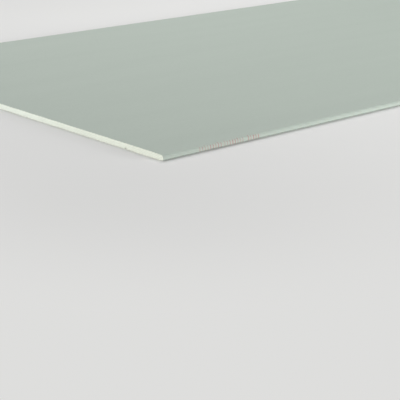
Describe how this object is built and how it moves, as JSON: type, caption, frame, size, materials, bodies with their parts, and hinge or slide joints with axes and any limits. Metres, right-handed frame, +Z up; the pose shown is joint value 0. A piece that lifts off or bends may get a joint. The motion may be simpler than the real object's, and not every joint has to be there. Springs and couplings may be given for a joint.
{
  "type": "drywall sheet",
  "caption": "Flat plasterboard sheet: gypsum core between a green face paper that wraps the half-round long edges and a back paper, with square sawn ends.",
  "frame": {"origin": "middle of the sheet's underside, on the level floor that it lies on", "axes": "+X along the sheet's length, +Y across its width, +Z up through its thickness from back to face"},
  "size_m": [2.5, 1.2, 0.0125],
  "materials": {
    "gypsum": "matt, sawn",
    "face_paper": "matt, grey-green liner",
    "back_paper": "matt, plain grey-green liner"
  },
  "bodies": {
    "root": {"gypsum_core": "gypsum", "face_paper": "face_paper", "back_paper": "back_paper"}
  },
  "joints": []
}
